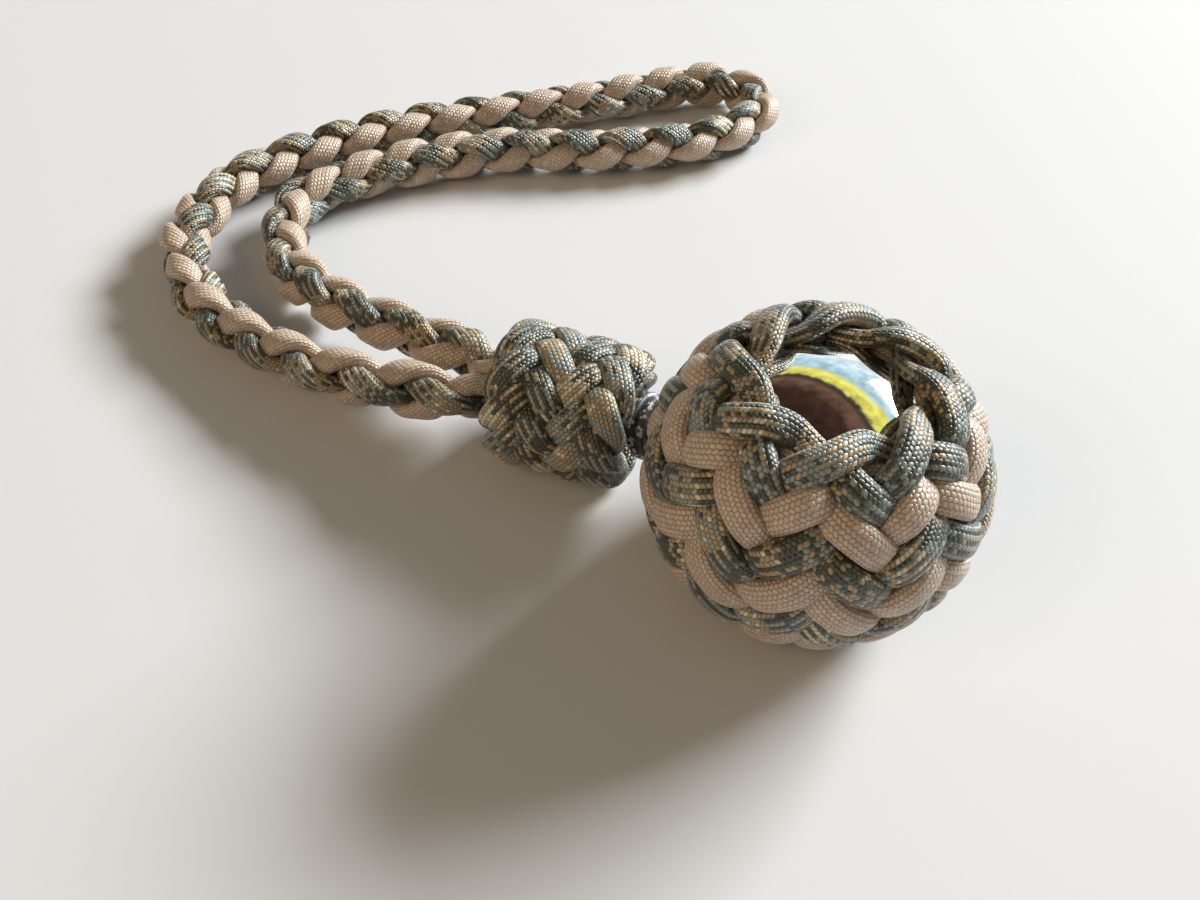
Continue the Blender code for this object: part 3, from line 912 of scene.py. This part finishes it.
def braid_route():
    """The middle of the braid, from the collar's outer face round the loop and back."""
    face = COLLAR_CENTRE - TO_BALL * (COLLAR_HALF_LENGTH + PIECE_GAP)
    aside = UP.cross(TO_BALL) * (BRAID_DIAMETER + BRAID_SIDE_GAP) / 2
    straight = -TO_BALL * BRAID_STRAIGHT
    route = [face + aside, face + aside + straight]
    route += [Vector(spot) * MM for spot in ROUTE]
    route += [face - aside + straight, face - aside]
    curve = smooth_curve(route, STEPS_PER_ROUTE_SPOT)
    (points,) = resampled(curve, [], CORD_SHEATH, False)
    return points, lengths_along(points, False)


def braid_turns(lengths):
    """How often the cords have gone round, slower by the collar, in whole half turns in all."""
    ease = smoothstep(np.minimum(lengths, lengths[-1] - lengths) / BRAID_PITCH_EASES)
    turns = np.cumsum(1 / blend(BRAID_PITCH_AT_COLLAR, BRAID_PITCH, ease))
    turns = (turns - turns[0]) * lengths[1]
    return turns * (round(turns[-1] * 2) / 2 / turns[-1])


def braid_twist(lengths):
    """The angle by which the whole braid has turned about its middle."""
    shares, degrees = np.array(BRAID_TWIST).T
    twist = np.radians(np.interp(lengths / lengths[-1], shares, degrees))
    weights = np.hanning(TWIST_SMOOTHING)
    padded = np.pad(twist, TWIST_SMOOTHING // 2, mode="edge")
    return np.convolve(padded, weights / weights.sum(), mode="valid")


def braid_cord(kind, number, route, lengths):
    """One of the four cords: two of a kind turn the same way and cross over the other two."""
    way = 1 if kind == "tan" else -1
    turn = way * TURN * braid_turns(lengths) + math.pi * number
    outer = turn if kind == "tan" else turn - math.pi / 2
    reach = BRAID_OUTER * np.cos(outer)
    aside = (BRAID_INNER + BRAID_BOW) * np.sin(outer) + BRAID_BOW * np.sin(3 * outer)
    x, y = (reach, aside) if kind == "tan" else (-aside, reach)
    twist = braid_twist(lengths)
    cos, sin = np.cos(twist), np.sin(twist)
    sides, ups = carried_frame(route)
    centres = route + sides * (x * cos - y * sin)[:, None] + ups * (x * sin + y * cos)[:, None]
    outs = sides * np.cos(turn + twist)[:, None] + ups * np.sin(turn + twist)[:, None]
    level = smoothstep(np.abs(np.cos(outer)))
    return centres, outs, [blend(*BRAID_WIDTHS, level), blend(*BRAID_DEPTHS, level)]


def into_bore(centres, outs, sizes, step, spot):
    """A cord whose start is bent from its place in the braid to a spot in the collar's bore."""
    lengths = np.arange(len(centres)) * step
    near = lengths < FUNNEL
    pulled = 1 - smoothstep(lengths / FUNNEL)
    local = moved(COLLAR_FRAME.inverted(), centres[near])
    local[:, :2] = blend(local[:, :2], np.array(spot), pulled[near][:, None])
    inside = np.array([*spot, COLLAR_HALF_LENGTH - BORE_REACH])
    count = round(BORE_REACH / step)
    lead = blend(inside, local[0], np.linspace(0, 1, count, endpoint=False)[:, None])
    centres = np.concatenate(
        [moved(COLLAR_FRAME, lead), moved(COLLAR_FRAME, local), centres[~near]]
    )
    outs = np.concatenate([np.repeat(outs[:1], count, 0), outs])
    thin = np.full(count, STRAND_DIAMETER)
    sizes = [np.concatenate([thin, blend(size, STRAND_DIAMETER, pulled)]) for size in sizes]
    return centres, outs, sizes


def nearest_order(places, spots):
    """The two spots in the order that brings them closest to the two places."""
    gaps = [[np.hypot(*(place - spot)) for spot in spots] for place in places]
    return spots if gaps[0][0] + gaps[1][1] <= gaps[0][1] + gaps[1][0] else spots[::-1]


def run_into_bore(pair, spots, step):
    """Two cords of a kind, with their starts in the bore and then reversed for their ends."""
    starts = [moved(COLLAR_FRAME.inverted(), centres[:1])[0, :2] for centres, _, _ in pair]
    made = []
    for (centres, outs, sizes), spot in zip(pair, nearest_order(starts, spots)):
        centres, outs, sizes = into_bore(centres, outs, sizes, step, spot)
        made.append((centres[::-1], outs[::-1], [size[::-1] for size in sizes]))
    return made


def braid(materials):
    """The lanyard. Its eight cord ends run into the collar's bore, where the root cords go on."""
    route, lengths = braid_route()
    for kind in KINDS:
        pair = [braid_cord(kind, number, route, lengths) for number in (0, 1)]
        spots = [root_place(index) for index in BRAID_ROOTS[kind]]
        for leg in (spots[:2], spots[2:]):
            pair = run_into_bore(pair, leg, lengths[1])
        for number, (centres, outs, sizes) in enumerate(pair):
            rings = resampled(centres, [outs, *sizes], CORD_SHEATH, False)
            name = f"lanyard_{kind}_cord_{number + 1}"
            piece = tube(name, *rings, CORD_SHEATH, start=BRAID_PATTERN_SHIFT * number)
            dressed(piece, materials[kind], f"{kind}_cord", "lanyard", "lanyard_braid")
    route[::4].tolist() + [route[-1].tolist()]


# Floor, light and camera

BACKDROP = (0.80, 0.80, 0.79, 1.0)
FLOOR_COLOUR = (0.66, 0.66, 0.655, 1.0)
FLOOR_RADIUS = 6.0
FLOOR_DROP = 0.2 * MM
FLOOR_FADES = (0.35, 0.9)

# Area lamps, aimed at the ball
Lamp = namedtuple("Lamp", "place size power colour")
LAMPS = {
    "key_light": Lamp((2.2, 1.7, 1.48), (1.60, 0.80), 215.0, (0.95, 0.98, 1.0)),
    "fill_light": Lamp((-1.40, -0.90, 1.20), (1.20, 1.20), 12.0, (1.0, 0.75, 0.46)),
}

EVEN_LIGHT = (1.0, 0.95, 0.89, 1.0)
EVEN_STRENGTH = 0.145
# What mirrors see, from the side away from SKY_SIDE to the side towards it
SKY_SIDE = (0.653, 0.55, -0.52)
SKY = (
    (0.0, (0.030, 0.017, 0.012)),
    (0.30, (0.055, 0.028, 0.018)),
    (0.43, (0.18, 0.10, 0.065)),
    (0.46, (0.055, 0.045, 0.035)),
    (0.485, (0.075, 0.065, 0.045)),
    (0.505, (0.70, 0.65, 0.14)),
    (0.575, (0.96, 0.89, 0.15)),
    (0.615, (0.42, 0.63, 0.70)),
    (0.72, (0.66, 0.86, 0.95)),
    (0.80, (0.95, 0.98, 1.0)),
)
SKY_BEND = 0.75
SKY_SPREAD = 1.25
CLOUD_SCALE = 9.0
CLOUD_DETAIL = 9.0
CLOUD_SHIFT = 0.14
CLOUD_LIGHT = 1.7
CLOUD_LEAST_LIGHT = 0.25

CAMERA_FROM_BALL = Vector((-32.0, -108.3, 125.4)) * MM
CAMERA_PITCH = math.radians(48.52)
CAMERA_ROLL = math.radians(3.04)
LENS = 33.3
SENSOR_WIDTH = 36.0
CLIP_START = 0.01
CLIP_END = 20.0


def floor():
    """A pale floor that takes the object's shadow and fades into the backdrop further out."""
    bpy.ops.mesh.primitive_circle_add(
        vertices=96, radius=FLOOR_RADIUS, fill_type="NGON", location=(0, 0, -FLOOR_DROP)
    )
    plane = bpy.context.object
    plane.name = "floor"
    tree = Tree(bpy.data.materials.new("pale_floor"))
    tree.shade(Base_Color=FLOOR_COLOUR, Roughness=0.75, Specular_IOR_Level=0.2)
    distance = tree.measured("LENGTH", tree.place("Object"))
    seen = tree.ray("Is Camera Ray") + tree.ray("Is Glossy Ray")
    share = tree.ranged(distance, *FLOOR_FADES, "SMOOTHSTEP") * seen
    far = tree.node("Emission", {"Color": BACKDROP}).outputs[0]
    tree.show(tree.mixed(share, tree.shader.outputs[0], far), "Material Output")
    plane.data.materials.append(tree.owner)


def lights():
    for name, lamp in LAMPS.items():
        light = bpy.data.lights.new(name, "AREA")
        light.shape = "RECTANGLE"
        light.size, light.size_y = lamp.size
        light.energy = lamp.power
        light.color = lamp.colour
        stand = added(name, light)
        stand.location = lamp.place
        stand.rotation_mode = "QUATERNION"
        stand.rotation_quaternion = (BALL_CENTRE - stand.location).to_track_quat("-Z", "Y")


def surroundings():
    """Even pale light all round.

    Mirrors see a bright side beyond the object and a dim one before it."""
    world = bpy.data.worlds.new("studio")
    bpy.context.scene.world = world
    tree = Tree(world, "Background")
    tree.shade(Color=EVEN_LIGHT, Strength=EVEN_STRENGTH)
    way = tree.place("Generated")
    cloud = tree.noise(way, CLOUD_SCALE, CLOUD_DETAIL)
    spread = SKY_SPREAD - tree.parts(way)[0] * SKY_BEND
    side = tree.measured("DOT_PRODUCT", way, SKY_SIDE) * spread + (cloud - 0.5) * CLOUD_SHIFT
    tint = tree.ramp(tree.ranged(side, -1.0, 1.0), SKY)
    strength = cloud * CLOUD_LIGHT + CLOUD_LEAST_LIGHT
    mirrored = tree.node("Background", {"Color": tint, "Strength": strength}).outputs[0]
    backdrop = tree.node("Background", {"Color": BACKDROP}).outputs[0]
    lit = tree.mixed(tree.ray("Is Glossy Ray"), tree.shader.outputs[0], mirrored)
    tree.show(tree.mixed(tree.ray("Is Camera Ray"), lit, backdrop), "World Output")


def camera():
    data = bpy.data.cameras.new("camera")
    data.sensor_width = SENSOR_WIDTH
    data.lens = LENS
    data.clip_start = CLIP_START
    data.clip_end = CLIP_END
    ahead = Vector((0.0, math.cos(CAMERA_PITCH), -math.sin(CAMERA_PITCH)))
    level_up = Vector((0.0, math.sin(CAMERA_PITCH), math.cos(CAMERA_PITCH)))
    right = Vector((1, 0, 0)) * math.cos(CAMERA_ROLL) + level_up * math.sin(CAMERA_ROLL)
    turn = Matrix((right, right.cross(ahead), -ahead)).transposed().to_4x4()
    cam = added("camera", data)
    cam.matrix_world = Matrix.Translation(BALL_CENTRE + CAMERA_FROM_BALL) @ turn
    bpy.context.scene.camera = cam


camera()
floor()
lights()
surroundings()
bpy.context.scene.view_settings.view_transform = "Standard"

finishes = {"tan": tan_sheath("tan_sheath"), "camo": camo_sheath("camo_sheath", 5.0)}
braid(finishes)
cover(finishes)
collar(camo_sheath("collar_sheath", 3.0))
steel_ball(polished_steel("polished_steel"))
neck_cords(finishes)
whipping(speckled_sheath("speckled_sheath"))
root_cords(finishes)
